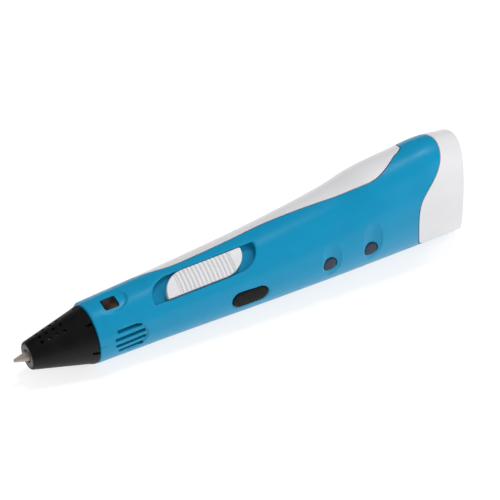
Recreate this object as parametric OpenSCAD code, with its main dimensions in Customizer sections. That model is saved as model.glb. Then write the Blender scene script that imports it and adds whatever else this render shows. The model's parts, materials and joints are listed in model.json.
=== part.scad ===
// Three d pen: a hand-held pen that melts plastic filament and pushes it out of a hot nozzle.
// Two half shells hold the feed train, the heater, the cooling fan and the circuit board.
//
// Pen coordinates, used inside every module: x runs from the nozzle tip to the rear, the nozzle
// axis is y = 0, z = 0, and the controls face -y. placed() then moves the pen so that the origin
// is the middle of its length, on the flat strip under the belly.

/* [Body] */
// Overall length, nozzle tip to the rear corners
pen_length = 184; // fixed by body_sections
// Wall thickness of the two half shells
wall = 1.8; // [1.5:0.1:2]
// Lowest line of the oval body below the nozzle axis
belly_z = -11.2; // fixed by body_sections
// Flat strip along the belly, below the nozzle axis
flat_z = -10.8; // [-11:0.1:-10.6]
// Oval cross-sections: distance from the tip, half width, top above the nozzle axis
body_sections = [[29.4, 11.6, 12.4], [60, 12.2, 15.4], [100, 13.9, 19.7], [130, 15, 25.2],
    [145, 15.5, 30], [160, 15.5, 32.3], [172, 15.4, 33.8], [184, 14.7, 32.6]]; // smooth curve
// Radius of the hollow curve of the rear face
rear_radius = 57.8; // [50:0.1:70]
// Parting gap between the blue and the white shell
seam_gap = 0.15; // [0.1:0.05:0.3]

/* [Parting line] */
// Top parting line seen from above: distance from the tip, sideways position
top_seam = [[24, 9.6], [35.5, 9.2], [43.4, 8.4], [50.8, 6.8], [57.6, 4.5], [64.7, 2.4], [74, 2],
    [90, 2.2], [103, 2.4], [117, 0.4], [131, -2.6], [142, -5], [146, -5.4], [149.5, -4.7],
    [153.6, -2.9], [158.4, 0.2]]; // smooth curve
// Rear parting line seen from the side: height, distance from the tip
rear_seam = [[-9.6, 182], [-8.2, 173], [-6.5, 167], [-4.8, 164.1], [-1.6, 162.1], [6, 160.4],
    [13, 160.2], [17.5, 161.2], [20.8, 163.4], [27.1, 170], [30.5, 173], [34.5, 175.6]]; // curve
// Far end of the blue tongue over the top: middle along the pen, half length, sideways reach
tongue = [169.2, 6.2, 10.5]; // fixed by the parting line

/* [Nozzle] */
// Radius of the hole that lets the melt out
nozzle_bore_r = 0.35; // [0.2:0.05:0.5]
// Radius of the filament passage through every tube
passage_r = 1.05; // [1:0.01:1.15]
// Radius of the nozzle shaft where it leaves the front ring
nozzle_r = 1.9; // [1.6:0.1:2.2]
// Front end of the nozzle cover
cover_x = 5.3; // [5:0.1:5.6]
// Cover outline: distance from the tip, radius
cover_outline = [[5.3, 4.95], [5.7, 5.35], [26.2, 10.4], [28.4, 11.1], [29.1, 11.1]]; // fixed
// Wall thickness of the nozzle cover
cover_wall = 1.2; // [1:0.1:1.3]
// Radius of the small cooling holes in the cover
cover_hole_r = 0.75; // [0.6:0.05:0.85]

/* [Controls] */
// Speed slider: length, width, travel each way from the middle
slider_size = [32.4, 8.4, 5.5]; // fixed by the groove
// Speed slider: distance from the tip, angle round the oval from the near side
slider_place = [74.7, 61]; // fixed by the body
// Depth of the slider groove
groove_depth = 3; // [2.6:0.1:3.2]
// Number of grip grooves across the slider
grip_count = 14; // [8:1:16]
// Feed button: length and height of the oval
feed_size = [14.5, 6.7]; // fixed by the switch pocket
// Feed button: distance from the tip, height, outer face
feed_place = [90.2, 2.2, -13.8]; // fixed by the body
// Load and unload buttons: distance from the tip, height, outer face
round_buttons = [[123.4, 4.3, -14.1], [140.5, 5, -14.6]]; // fixed by the body
// Radius of the load and unload buttons
round_button_r = 2.75; // [2.5:0.05:2.9]
// Travel of every push button
press = 0.5; // [0.3:0.05:0.5]

/* [Feed train] */
// Tooth size of the two gears (pitch diameter over teeth)
gear_module = 0.5; // fixed by the gear distance
// Teeth on the motor pinion
pinion_teeth = 14; // fixed by the gear distance
// Teeth on the hollow feed gear
feed_teeth = 28; // fixed by the gear distance
// Play between meshing teeth, taken off each gear's teeth
backlash = 0.06; // [0.04:0.01:0.1]
// Radius of the motor and its gearbox
motor_r = 6; // [5:0.1:6]

/* [Hidden] */
$fn = 64;

far = 40;                                   // reach of cutters that pass right through the pen
body_start = body_sections[0][0];
cover_end = cover_outline[4][0];
spigot_end = cover_end + 3.7;               // sleeve of the cover inside the shell mouth
mid_rear_x = 179.85;                        // rear face at mid height
rear_axis_x = mid_rear_x + rear_radius;
rear_mid_z = 11.1;
seam_switch_z = 5;                          // above this the top seam applies, below it y = 0
gear_distance = gear_module * (pinion_teeth + feed_teeth) / 2;
gear_x = 101.5;
gear_width = 5;
frame_front = [96.5, 98.5];                 // front plate of the gear frame, along the pen
frame_rear = [110.5, 113];                  // rear plate, which carries the motor
frame_span = frame_rear[1] - frame_front[0];
tie_x = 98.1;                               // the upper tie starts behind the slider's tub
hub_r = 2.5;                                // feed gear hub
running_play = 0.05;
bearing_r = 4;
tube_r = 2;
board_y = [-9.2, -8.2];
switch_top_y = -10.8;
slider_corner = 0.5;                        // radius of the slider's two tight corners
slider_sweep = 8.8;                         // length of its two long corner sweeps
feed_back_y = switch_top_y - press - 0.05;  // back of the feed button's rim, clear of its switch
plunger_r = 1;
shell_screw_spots = [[57, -5.2], [88.5, -6.2], [151, -6], [158, 25]];
screw_seat_y = 5;
boss_r = 2.6;
board_screw_spots = [[70, 6.2], [148, 0]];
inlet_face_x = 181.2;
jack_z = 20;
jack_face_x = 180.2;
fan_centre = [43, 1.3];
fan_size = 14;
fan_y = [-6.6, -2.6];
heater_wire_spots = [[3, 5.4], [5.6, 2.6]]; // where the wires pass the nozzle mount: y, z
button_spots = [[feed_place[0], feed_place[1]], [round_buttons[0][0], round_buttons[0][1]],
    [round_buttons[1][0], round_buttons[1][1]]];

// ---- curves through a few named points ----

function row_of(t, x, k = 0) = k >= len(t) - 2 || x < t[k + 1][0] ? k : row_of(t, x, k + 1);
function tangent(t, k, c) =
    let (a = max(k - 1, 0), b = min(k + 1, len(t) - 1))
    (t[b][c] - t[a][c]) / (t[b][0] - t[a][0]);
function along(t, x, c) =
    let (k = row_of(t, x), h = t[k + 1][0] - t[k][0], u = (x - t[k][0]) / h)
    (2 * u ^ 3 - 3 * u ^ 2 + 1) * t[k][c] + (u ^ 3 - 2 * u ^ 2 + u) * h * tangent(t, k, c)
    + (3 * u ^ 2 - 2 * u ^ 3) * t[k + 1][c] + (u ^ 3 - u ^ 2) * h * tangent(t, k + 1, c);

function half_w(x) = along(body_sections, x, 1);
function top_z(x) = along(body_sections, x, 2);
function mid_z(x) = (top_z(x) + belly_z) / 2;
function half_h(x) = (top_z(x) - belly_z) / 2;

// A point on the near side of the body, its tilt about the pen, and its slope along the pen.
function skin_point(x, angle) =
    [x, -half_w(x) * cos(angle), mid_z(x) + half_h(x) * sin(angle)];
function skin_tilt(x, angle) = atan2(cos(angle) / half_w(x), sin(angle) / half_h(x));
function skin_slope(x, angle) =
    let (t = skin_tilt(x, angle), step = (skin_point(x + 1, angle) - skin_point(x - 1, angle)) / 2)
    atan(step * [0, -sin(t), cos(t)]);

// ---- helpers ----

module placed() translate([-pen_length / 2, 0, -flat_z]) children();

// Stands children on the skin: their z points straight out of it and their x runs along it.
module on_skin(x, angle)
    translate(skin_point(x, angle))
    rotate([skin_tilt(x, angle), 0, 0])
    rotate([0, -skin_slope(x, angle), 0])
    children();

// A round bar along the pen from x0 to x1.
module bar(r, x0, x1, y = 0, z = 0)
    translate([x0, y, z]) rotate([0, 90, 0]) cylinder(r = r, h = x1 - x0);

// A round bar across the pen from y0 to y1.
module cross_bar(r, x, z, y0, y1)
    translate([x, y1, z]) rotate([90, 0, 0]) cylinder(r = r, h = y1 - y0);

// A solid turned about the pen's axis from an outline of [x, radius] points.
module turned(outline) rotate([0, 90, 0]) rotate([0, 0, 180])
    rotate_extrude() polygon([for (p = outline) [p[1], p[0]]]);

// A flat shape with round ends, along x.
module slot_shape(length, width) {
    square([length - width, width], center = true);
    for (side = [-1, 1]) translate([side * (length - width) / 2, 0]) circle(d = width);
}

// The slider's leaf shape: two opposite corners are tight, the other two are long sweeps.
module leaf_shape(length, width, tight, sweep) {
    steps = 14;
    rise = width - tight;
    function arc(c, rx, ry, from) = [for (k = [0:steps])
        let (a = from + 90 * k / steps) [c[0] + rx * cos(a), c[1] + ry * sin(a)]];
    tight_end = [length / 2 - tight, width / 2 - tight];
    sweep_end = [length / 2 - sweep, width / 2 - tight];
    polygon(concat(arc(-tight_end, tight, tight, 180), arc(sweep_end, sweep, rise, 270),
        arc(tight_end, tight, tight, 0), arc(-sweep_end, sweep, rise, 90)));
}

// A rectangle with rounded corners.
module rounded_rect(size, r) {
    square([size[0] - 2 * r, size[1]], center = true);
    square([size[0], size[1] - 2 * r], center = true);
    for (i = [-1, 1], j = [-1, 1])
        translate([i * (size[0] / 2 - r), j * (size[1] / 2 - r)]) circle(r = r);
}

// A flat shape drawn in x and z, pushed across the pen from y0 to y1.
module across(x, z, y0, y1)
    translate([x, y1, z]) rotate([90, 0, 0]) linear_extrude(y1 - y0) children();

// Faces that join rings of points into one closed skin, ring after ring.
function ring_faces(rings, n) = concat(
    [for (i = [0:rings - 2], j = [0:n - 1])
        let (a = i * n + j, b = i * n + (j + 1) % n) [a + n, b + n, b, a]],
    [[for (j = [0:n - 1]) j]],
    [[for (j = [n - 1:-1:0]) (rings - 1) * n + j]]);

// The oval body between two stations, drawn in by inset.
module oval_body(x0, x1, rings, n, inset) {
    points = [for (i = [0:rings - 1], j = [0:n - 1])
        let (x = x0 + (x1 - x0) * i / (rings - 1), xc = max(x, body_start),
            a = 360 * (j + 0.5) / n)
        [x, (half_w(xc) - inset) * cos(a), mid_z(xc) + (half_h(xc) - inset) * sin(a)]];
    polyhedron(points, ring_faces(rings, n), convexity = 4);
}

// Everything behind the hollow curve of the rear face.
module rear_cutter(r) translate([rear_axis_x, 0, rear_mid_z]) rotate([90, 0, 0])
    cylinder(r = r, h = 2 * far, center = true, $fn = 256);

module outer_body() difference() {
    oval_body(body_start, pen_length, 32, 44, 0);
    rear_cutter(rear_radius);
    translate([0, -far, flat_z - far]) cube([2 * pen_length, 2 * far, far]);
}

module hollow() difference() {
    oval_body(body_start - 1, pen_length - 2, 20, 32, wall);
    rear_cutter(rear_radius + wall);
    translate([0, -far, flat_z + wall - far]) cube([2 * pen_length, 2 * far, far]);
}

// The share of space that belongs to the blue shell, grown by grow.
module blue_side(grow) intersection() {
    low_end = rear_seam[0];
    high_end = rear_seam[len(rear_seam) - 1];
    side = [for (i = [0:36])
        let (z = low_end[0] + (high_end[0] - low_end[0]) * i / 36) [along(rear_seam, z, 1) + grow, z]];
    translate([0, far, 0]) rotate([90, 0, 0]) linear_extrude(2 * far)
        polygon(concat([[20, -far], [low_end[1] + grow, -far]], side,
            [[high_end[1] + grow, far], [20, far]]));
    union() {
        translate([20, -far, -far]) cube([pen_length, far + grow, far + seam_switch_z]);
        translate([0, 0, seam_switch_z]) linear_extrude(far) {
            first = top_seam[0];
            last = top_seam[len(top_seam) - 1];
            tongue_y = tongue[2] - tongue[1];
            seam = [for (i = [0:48])
                let (x = first[0] + (last[0] - first[0]) * i / 48) [x, along(top_seam, x, 1) + grow]];
            polygon(concat([[first[0], -far]], seam, [[last[0] + 4 - grow, tongue_y + grow],
                [pen_length, tongue_y + grow], [pen_length, -far]]));
            translate([tongue[0], 0]) square([2 * tongue[1] + 2 * grow, 2 * tongue_y], center = true);
            translate([tongue[0], tongue_y]) circle(r = tongue[1] + grow);
        }
    }
}

// ---- openings and seats shared by both shells ----

module groove(extra, depth) on_skin(slider_place[0], slider_place[1])
    translate([0, 0, -depth]) linear_extrude(depth + 4)
    leaf_shape(slider_size[0] + 2 * slider_size[2] + 0.4 + 2 * extra, slider_size[1] + 0.8 + 2 * extra,
        slider_corner + 0.4 + extra, slider_sweep + 0.2 + extra);

module screw_bosses(y0, y1) for (s = shell_screw_spots) cross_bar(boss_r, s[0], s[1], y0, y1);

// Ring inside the shell mouth that grips the nozzle cover's spigot.
module mouth_ring() difference() {
    bar(13, body_start + 0.8, body_start + 2.8);
    bar(8.95, body_start, body_start + 4);
}

// ---- half shells ----

module blue_shell() placed() color("#1284b4") difference() {
    intersection() {
        difference() {
            outer_body();
            difference() {
                hollow();
                mouth_ring();
                screw_bosses(-far, 0);
                groove(1.1, groove_depth + 1);
                for (b = round_buttons) cross_bar(4.3, b[0], b[1], -far, b[2] + 2);
                for (s = board_screw_spots) cross_bar(1.9, s[0], s[1], -far, board_y[0]);
            }
        }
        blue_side(0);
    }
    groove(0, groove_depth);
    on_skin(slider_place[0], slider_place[1]) translate([0, 0, -groove_depth - 3])
        linear_extrude(4) slot_shape(15, 1.8);
    on_skin(38.2, 82) translate([0, 0, -5]) linear_extrude(10) rounded_rect([6, 5.3], 0.9);
    across(feed_place[0], feed_place[1], -far, -11) slot_shape(feed_size[0] + 0.4, feed_size[1] + 0.4);
    across(feed_place[0], feed_place[1], feed_back_y - 0.4, -8)
        slot_shape(feed_size[0] + 2.4, feed_size[1] + 2.4);
    for (b = round_buttons) {
        cross_bar(round_button_r + 0.2, b[0], b[1], -far, 0);
        cross_bar(round_button_r + 1.2, b[0], b[1], b[2] + 2, 0);
        translate([b[0], b[2] + 0.8 - 6.6, b[1] - 12]) cylinder(r = 6.6, h = 24);
    }
    for (k = [0:3]) {
        inset = k == 0 || k == 3 ? 1.2 : 0;
        across(41.6, 6 - 2.75 * k, -far, -4) slot_shape(12.6 - 2 * inset, 1.4);
    }
    for (s = shell_screw_spots) cross_bar(0.95, s[0], s[1], -6, 1);
    for (s = board_screw_spots) cross_bar(0.7, s[0], s[1], -11, -8);
}

module white_shell() placed() color("#e4e3e8") difference() {
    outer_body();
    difference() {
        hollow();
        mouth_ring();
        screw_bosses(seam_gap, far);
    }
    blue_side(seam_gap);
    for (s = shell_screw_spots) {
        cross_bar(1.15, s[0], s[1], -1, far);
        cross_bar(2.15, s[0], s[1], screw_seat_y, far);
    }
    bar(2.5, 170, 190);
    bar(3.55, 180, 190);
    bar(3.95, 170, 190, 0, jack_z);
}

// ---- nozzle end ----

module nozzle_cover() placed() color("#232325") difference() {
    inside = [for (p = cover_outline) [p[0], p[1] - cover_wall]];
    turned(concat(cover_outline, [[cover_end, 8.85], [spigot_end, 8.85], [spigot_end, 7.6], [27.6, 7.6],
        [27.6, inside[2][1] + 0.3], inside[2], [7.5, inside[1][1] + 0.45], [7.5, 4.7], [cover_x, 4.7]]));
    for (under = [0, 180], row = [-28, -5, 18], k = [0:3]) rotate([under + row, 0, 0])
        translate([10.6 + 2.9 * k, 0, 0]) cylinder(r = cover_hole_r, h = 14);
    for (k = [0:5]) rotate([60 * k + 30, 0, 0])
        translate([cover_end - 1.3, 0, 10.9]) cube([2.8, 1.1, 2.4], center = true);
}

module front_ring() placed() color("#6a696c")
    turned([[cover_x, 2.5], [cover_x, 4.4], [cover_x + 0.3, 4.65], [7.4, 4.65], [7.4, 2.5]]);

module nozzle() placed() color("#a89e94")
    turned([[0, nozzle_bore_r], [0, 0.6], [4.6, nozzle_r - 0.15], [5.3, nozzle_r], [8, nozzle_r], [8, 3.2],
        [10.4, 3.2], [10.4, 1.46], [16, 1.46], [16, passage_r], [2.2, passage_r], [1.4, nozzle_bore_r]]);

module heater_tube() placed() color("#c9a64e")
    turned([[10.5, 1.5], [10.5, 4], [27, 4], [27, passage_r], [16.2, passage_r], [16.2, 1.5]]);

// Heating wire wound round the heater tube: rings of points that follow a helix.
module heating_coil() placed() color("#8c8a88") {
    turns = 7;
    steps = 12;
    sides = 5;
    pitch = 1.7;
    coil_r = 4.4;
    wire_r = 0.32;
    rings = turns * steps + 1;
    points = [for (i = [0:rings - 1], j = [0:sides - 1])
        let (a = 360 * i / steps, b = 360 * j / sides, r = coil_r + wire_r * cos(b))
        [12.6 + pitch * i / steps - wire_r * sin(b), r * cos(a), r * sin(a)]];
    polyhedron(points, ring_faces(rings, sides), convexity = 8);
}

module insulation_sleeve() placed() color("#d8c9a0")
    turned([[12, 4.85], [12, 5.3], [26.6, 5.3], [26.6, 4.85]]);

module thermistor() placed() color("#b56a3a") {
    translate([24, 0, -6.3]) sphere(r = 0.8, $fn = 32);
    for (side = [-1, 1]) bar(0.2, 24, 30.6, side * 0.45, -6.3);
}

module nozzle_mount() placed() color("#3b3b3e") difference() {
    turned([[27.1, 2.05], [27.1, 4.8], [31, 4.8], [31, 7.5],
        [33.6, 7.5], [33.6, 3.4], [36, 3.4], [36, 2.05]]);
    for (s = heater_wire_spots) bar(1.1, 26, 36, s[0], s[1]);
    bar(1, 26, 36, 0, -6);
}

module guide_tube() placed() color("#f2f2ee")
    turned([[27.2, passage_r], [27.2, tube_r], [96.2, tube_r], [96.2, passage_r]]);

// ---- cooling fan ----

module fan_housing() placed() color("#2b2b2e") difference() {
    union() {
        difference() {
            across(fan_centre[0], fan_centre[1], fan_y[0], fan_y[1]) rounded_rect([fan_size, fan_size], 1);
            cross_bar(6.3, fan_centre[0], fan_centre[1], fan_y[0] - 1, fan_y[1] + 1);
        }
        cross_bar(2.4, fan_centre[0], fan_centre[1], fan_y[1] - 0.6, fan_y[1]);
        for (a = [90, 210, 330]) translate([fan_centre[0], 0, fan_centre[1]]) rotate([0, a, 0])
            translate([1.5, fan_y[1] - 0.6, -0.5]) cube([5.2, 0.6, 1]);
        cross_bar(0.5, fan_centre[0], fan_centre[1], fan_y[0] + 0.5, fan_y[1]);
    }
    for (i = [-1, 1], j = [-1, 1])
        cross_bar(0.6, fan_centre[0] + 5.9 * i, fan_centre[1] + 5.9 * j, fan_y[0] - 1, fan_y[1] + 1);
}

module fan_rotor() placed() color("#4a4a4e") translate([fan_centre[0], 0, fan_centre[1]]) {
    hub_y = [fan_y[0] + 0.3, fan_y[1] - 0.8];
    difference() {
        union() {
            cross_bar(2.3, 0, 0, hub_y[0], hub_y[1]);
            for (k = [0:6]) rotate([0, 360 * k / 7, 0]) intersection() {
                blade_middle = [3.9, (hub_y[0] + hub_y[1]) / 2, 0];
                translate(blade_middle) rotate([50, 0, 0]) cube([3.9, 0.5, 4.4], center = true);
                translate(blade_middle) cube([5, hub_y[1] - hub_y[0], 8], center = true);
            }
        }
        cross_bar(0.55, 0, 0, fan_y[0] - 1, fan_y[1]);
    }
}

// ---- indicator ----

module window_lens() placed() color("#1b1513") on_skin(38.2, 82)
    translate([0, 0, -1.6]) linear_extrude(1.1) rounded_rect([5.8, 5.1], 0.8);

module indicator_lamp() placed() color("#d23b2a") on_skin(38.2, 82) translate([0, 0, -6.6]) {
    cylinder(r = 1.5, h = 2.6);
    translate([0, 0, 2.6]) sphere(r = 1.48, $fn = 48);
    cylinder(r = 1.8, h = 0.5);
}

// ---- speed control ----

module speed_slider() placed() color("#f1f1f4") on_skin(slider_place[0], slider_place[1]) difference() {
    crown_r = 13.5;
    crown = 0.9;
    intersection() {
        translate([0, 0, 0.2 - groove_depth]) linear_extrude(groove_depth + 1)
            leaf_shape(slider_size[0], slider_size[1], slider_corner, slider_sweep);
        bar(crown_r, -slider_size[0], slider_size[0], 0, crown - crown_r);
    }
    for (k = [0:grip_count - 1]) translate([1.6 * (k - (grip_count - 1) / 2), 0, crown - crown_r])
        rotate([0, 90, 0]) rotate_extrude($fn = 96) translate([crown_r + 0.1, 0]) circle(r = 0.5, $fn = 24);
    translate([0, 0, -2.2]) cube([3.2, 1.4, 2.6], center = true);
}

module pot_lever() placed() color("#b9bcc2") on_skin(slider_place[0], slider_place[1]) {
    translate([0, 0, -4.6]) cube([3, 1.2, 6.8], center = true);
    translate([0, 0, -7.5]) cube([4, 3.4, 1], center = true);
}

module speed_pot() placed() color("#8f9499") on_skin(slider_place[0], slider_place[1])
    translate([0, 0, -8.8]) difference() {
        translate([-13, -2.6, 0]) cube([26, 5.2, 4.2]);
        translate([-8, -1.9, 0.6]) cube([16, 3.8, 2.8]);
        translate([-7.4, -0.8, 3]) cube([14.8, 1.6, 3]);
    }

// ---- push buttons ----

module feed_button() placed() color("#1c1c1e") difference() {
    union() {
        across(feed_place[0], feed_place[1], feed_place[2], feed_back_y)
            slot_shape(feed_size[0], feed_size[1]);
        across(feed_place[0], feed_place[1], feed_back_y - 0.3, feed_back_y)
            slot_shape(feed_size[0] + 1.6, feed_size[1] + 1.6);
    }
    for (i = [-5:5], j = [-1:1])
        translate([feed_place[0] + 1.15 * i + (j == 0 ? 0 : 0.55), feed_place[2],
            feed_place[1] + 1.55 * j])
            sphere(r = 0.4, $fn = 16);
}

module round_button(b) {
    cross_bar(round_button_r, b[0], b[1], b[2], b[2] + 2.2);
    cross_bar(round_button_r + 0.9, b[0], b[1], b[2] + 2.1, b[2] + 2.5);
    cross_bar(1.3, b[0], b[1], b[2] + 2.4, -11.3);
}

module load_button() placed() color("#504b55") round_button(round_buttons[0]);
module unload_button() placed() color("#504b55") round_button(round_buttons[1]);

module tact_switches() placed() color("#3a3d42") for (b = button_spots) difference() {
    translate([b[0] - 2.25, switch_top_y, b[1] - 2.25]) cube([4.5, board_y[0] - switch_top_y, 4.5]);
    cross_bar(plunger_r + 0.05, b[0], b[1], switch_top_y - 1, board_y[0] - 0.3);
}

module plunger(b) cross_bar(plunger_r, b[0], b[1], -11.3, board_y[0] - 0.3 - press - 0.1);

module feed_plunger() placed() color("#d9d9d2") plunger(button_spots[0]);
module load_plunger() placed() color("#d9d9d2") plunger(button_spots[1]);
module unload_plunger() placed() color("#d9d9d2") plunger(button_spots[2]);

// ---- circuit board ----

module circuit_board() placed() color("#1f6b3a") difference() {
    translate([66, board_y[0], -3]) cube([86, board_y[1] - board_y[0], 11]);
    for (s = board_screw_spots) cross_bar(0.9, s[0], s[1], -12, -6);
}

module control_chip() placed() color("#202226")
    translate([78, board_y[1], -0.5]) cube([6, 1, 5]);

// ---- feed train ----

// One side of an involute tooth, from the root to the tip, as [radius, angle] pairs.
function involute_angle(r, base) = r <= base ? 0 : sqrt((r / base) ^ 2 - 1) * 180 / PI - acos(base / r);

module gear_shape(teeth) {
    pitch_r = gear_module * teeth / 2;
    base_r = pitch_r * cos(20);
    root_r = pitch_r - 1.25 * gear_module;
    tip_r = pitch_r + 0.95 * gear_module;
    half_tooth = 90 / teeth - backlash / 2 / pitch_r * 180 / PI + involute_angle(pitch_r, base_r);
    radii = [root_r, for (k = [0:4]) max(root_r, base_r) + (tip_r - max(root_r, base_r)) * k / 4];
    flank = [for (r = radii) [r, half_tooth - involute_angle(r, base_r)]];
    count = len(flank);
    polygon([for (t = [0:teeth - 1], side = [0, 1], k = [0:count - 1])
        let (p = side == 0 ? flank[k] : flank[count - 1 - k],
            a = 360 * t / teeth + (side == 0 ? -p[1] : p[1]))
        p[0] * [cos(a), sin(a)]]);
}

// A spur gear along the pen, with its first tooth turned by turn from straight up.
module spur_gear(teeth, turn) translate([gear_x, 0, 0]) rotate([turn, 0, 0]) rotate([0, 90, 0])
    rotate([0, 0, 180]) linear_extrude(gear_width) gear_shape(teeth);

module feed_gear() placed() color("#e8e4d8") difference() {
    union() {
        spur_gear(feed_teeth, 0);
        bar(hub_r, frame_front[0] + 0.1, frame_rear[1] - 0.1);
        bar(3.3, frame_front[1] + 0.2, gear_x + 0.5);
        bar(3.3, gear_x + gear_width - 0.5, frame_rear[0] - 0.2);
    }
    bar(passage_r, 90, 120);
}

module drive_pinion() placed() color("#c8a450") translate([0, 0, gear_distance + 0.03]) difference() {
    spur_gear(pinion_teeth, 180 / pinion_teeth);
    bar(1, 90, 120);
}

module output_shaft() placed() color("#c9ccd2") bar(0.98, gear_x - 0.6, 118.8, 0, gear_distance + 0.03);

module bearing(plate) difference() {
    bar(bearing_r - 0.02, plate[0], plate[1]);
    bar(hub_r + running_play, plate[0] - 1, plate[1] + 1);
}
module front_bearing() placed() color("#b08a3c") bearing(frame_front);
module rear_bearing() placed() color("#b08a3c") bearing(frame_rear);

// One plate of the gear frame, with a head of radius head_r round the motor axis.
module frame_plate(plate, head_r)
    translate([plate[0], 0, 0]) rotate([90, 0, 90]) linear_extrude(plate[1] - plate[0]) {
        circle(r = 6.2);
        translate([0, gear_distance]) circle(r = head_r);
        translate([-head_r, 0]) square([2 * head_r, gear_distance]);
        translate([0, -3]) square([9.4, 6]);
    }

module gear_frame() placed() color("#5c6066") difference() {
    union() {
        frame_plate(frame_front, 4.9);
        frame_plate(frame_rear, 6);
        translate([frame_front[0], 7.9, -3]) cube([frame_span, 1.5, 6]);
        translate([tie_x, -2.5, gear_distance + 4.3]) cube([frame_rear[1] - tie_x, 5, 1.1]);
    }
    bar(bearing_r, 90, 120);
    bar(2.1, 105, 120, 0, gear_distance);
    bar(2.1, 90, 100, 0, gear_distance);
    for (side = [-1, 1]) bar(0.95, 105, 120, side * 4, gear_distance);
}

module motor_gearbox() placed() color("#a9adb3") difference() {
    bar(motor_r, frame_rear[1], 127, 0, gear_distance);
    bar(1.1, 110, 119, 0, gear_distance + 0.03);
    for (side = [-1, 1]) bar(0.85, 110, 117.5, side * 4, gear_distance);
}

module motor_can() placed() color("#c3c6cb") intersection() {
    bar(motor_r - 0.1, 127, 147, 0, gear_distance);
    translate([137, 0, gear_distance]) cube([30, 2 * motor_r, 2 * (motor_r - 1)], center = true);
}

module motor_end_cap() placed() color("#222326") {
    bar(motor_r - 1.1, 147, 148.6, 0, gear_distance);
    for (side = [-1, 1]) translate([148.6, side * 3 - 0.75, gear_distance - 0.2]) cube([2, 1.5, 0.4]);
}

// ---- filament inlet and power socket ----

module inlet_tube() placed() color("#f2f2ee")
    turned([[113.4, passage_r], [113.4, tube_r], [170.8, tube_r], [170.8, passage_r]]);

module filament_inlet() placed() color("#c9cbd0")
    turned([[171, passage_r], [171, 2.4], [180.05, 2.4], [180.05, 3.4], [inlet_face_x - 0.3, 3.4],
        [inlet_face_x, 3.1], [inlet_face_x, 1.8], [inlet_face_x - 0.7, passage_r]]);

module dc_jack() placed() color("#1d1e21") difference() {
    union() {
        translate([165.5, -4.5, jack_z - 5.5]) cube([12.4, 9, 11]);
        bar(3.8, 177, jack_face_x, 0, jack_z);
    }
    bar(2.9, 168, 190, 0, jack_z);
    bar(1.1, 160, 190, 0, jack_z);
}

module dc_jack_pin() placed() color("#d0b060") {
    bar(1.05, 164.6, 178, 0, jack_z);
    translate([178, 0, jack_z]) sphere(r = 1.04, $fn = 48);
}

// ---- fasteners ----

// A pan-head screw along +y, its head's seat at y = 0.
module pan_screw(head_r, head_h, shank_r, length) difference() {
    union() {
        cross_bar(head_r, 0, 0, 0, head_h);
        cross_bar(shank_r, 0, 0, -length, 0.1);
    }
    for (a = [0, 90]) rotate([0, a, 0]) translate([0, head_h, 0])
        cube([1.4 * head_r, head_h, 0.3 * head_r], center = true);
}

module shell_screws() placed() color("#8d9096")
    for (s = shell_screw_spots) translate([s[0], screw_seat_y, s[1]]) pan_screw(1.9, 1.3, 0.9, 10);

module motor_screws() placed() color("#8d9096")
    for (side = [-1, 1]) translate([frame_rear[0], side * 4, gear_distance]) rotate([0, 0, 90])
        pan_screw(1.3, 0.8, 0.8, 6);

module board_screws() placed() color("#8d9096")
    for (s = board_screw_spots) translate([s[0], board_y[1], s[1]]) pan_screw(1.2, 0.7, 0.65, 2.7);

// ---- wires ----

// A round wire along a cubic curve with four guide points. The curve never runs along aside.
module wire(p, aside) {
    r = 0.42;
    steps = 16;
    sides = 6;
    function spot(u) = (1 - u) ^ 3 * p[0] + 3 * u * (1 - u) ^ 2 * p[1]
        + 3 * u ^ 2 * (1 - u) * p[2] + u ^ 3 * p[3];
    function heading(u) = let (d = spot(u + 0.01) - spot(u - 0.01)) d / norm(d);
    points = [for (i = [0:steps])
        let (u = i / steps, d = heading(u), s0 = cross(d, aside), s = s0 / norm(s0), t = cross(d, s))
        for (j = [0:sides - 1]) spot(u) + r * (cos(360 * j / sides) * s + sin(360 * j / sides) * t)];
    polyhedron(points, ring_faces(steps + 1, sides));
}

module heater_wires() placed() color("#b03a2e") {
    high = [heater_wire_spots[0][0], heater_wire_spots[0][1]];
    low = [heater_wire_spots[1][0], heater_wire_spots[1][1]];
    wire([[28.2, high[0], high[1]], [44, high[0] + 0.6, high[1] + 1], [52, 3, 9], [67.5, -7.75, 2.3]],
        [0.1, 0.2, 1]);
    wire([[28.2, low[0], low[1]], [48, low[0] + 1.6, low[1]], [50, 6, 8], [67.5, -7.75, 4.1]],
        [0.1, 0.2, 1]);
}

module motor_wires() placed() color("#c7402f") for (side = [-1, 1])
    wire([[150.9, side * 3, gear_distance + 0.8], [158, side * 3, gear_distance], [160, -6 + side, 5],
        [152.6, -8.7, 2 + side]], [0.2, 1, -0.6]);

module power_wires() placed() color("#2a2a2d") for (side = [-1, 1])
    wire([[165, 0, jack_z + 2.4 * side], [159, -1, jack_z + 2.4 * side], [160, -9, 12 + side],
        [152.6, -8.7, 5.6 + side * 0.9]], [1, 0.8, -0.2]);

module fan_wires() placed() color("#c9a020") for (side = [-1, 1])
    wire([[50.3, -4.6 + side * 0.7, -3], [56, -4.6 + side * 0.7, -3], [60, -8 + side * 0.5, 0],
        [65.4, -8.7, side]], [0.1, 0.2, 1]);

blue_shell();
white_shell();
nozzle_cover();
front_ring();
nozzle();
heater_tube();
heating_coil();
insulation_sleeve();
thermistor();
nozzle_mount();
guide_tube();
fan_housing();
fan_rotor();
window_lens();
indicator_lamp();
speed_slider();
speed_pot();
pot_lever();
feed_button();
load_button();
unload_button();
tact_switches();
feed_plunger();
load_plunger();
unload_plunger();
circuit_board();
control_chip();
gear_frame();
front_bearing();
rear_bearing();
feed_gear();
drive_pinion();
output_shaft();
motor_gearbox();
motor_can();
motor_end_cap();
inlet_tube();
filament_inlet();
dc_jack();
dc_jack_pin();
shell_screws();
motor_screws();
board_screws();
heater_wires();
motor_wires();
power_wires();
fan_wires();
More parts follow.
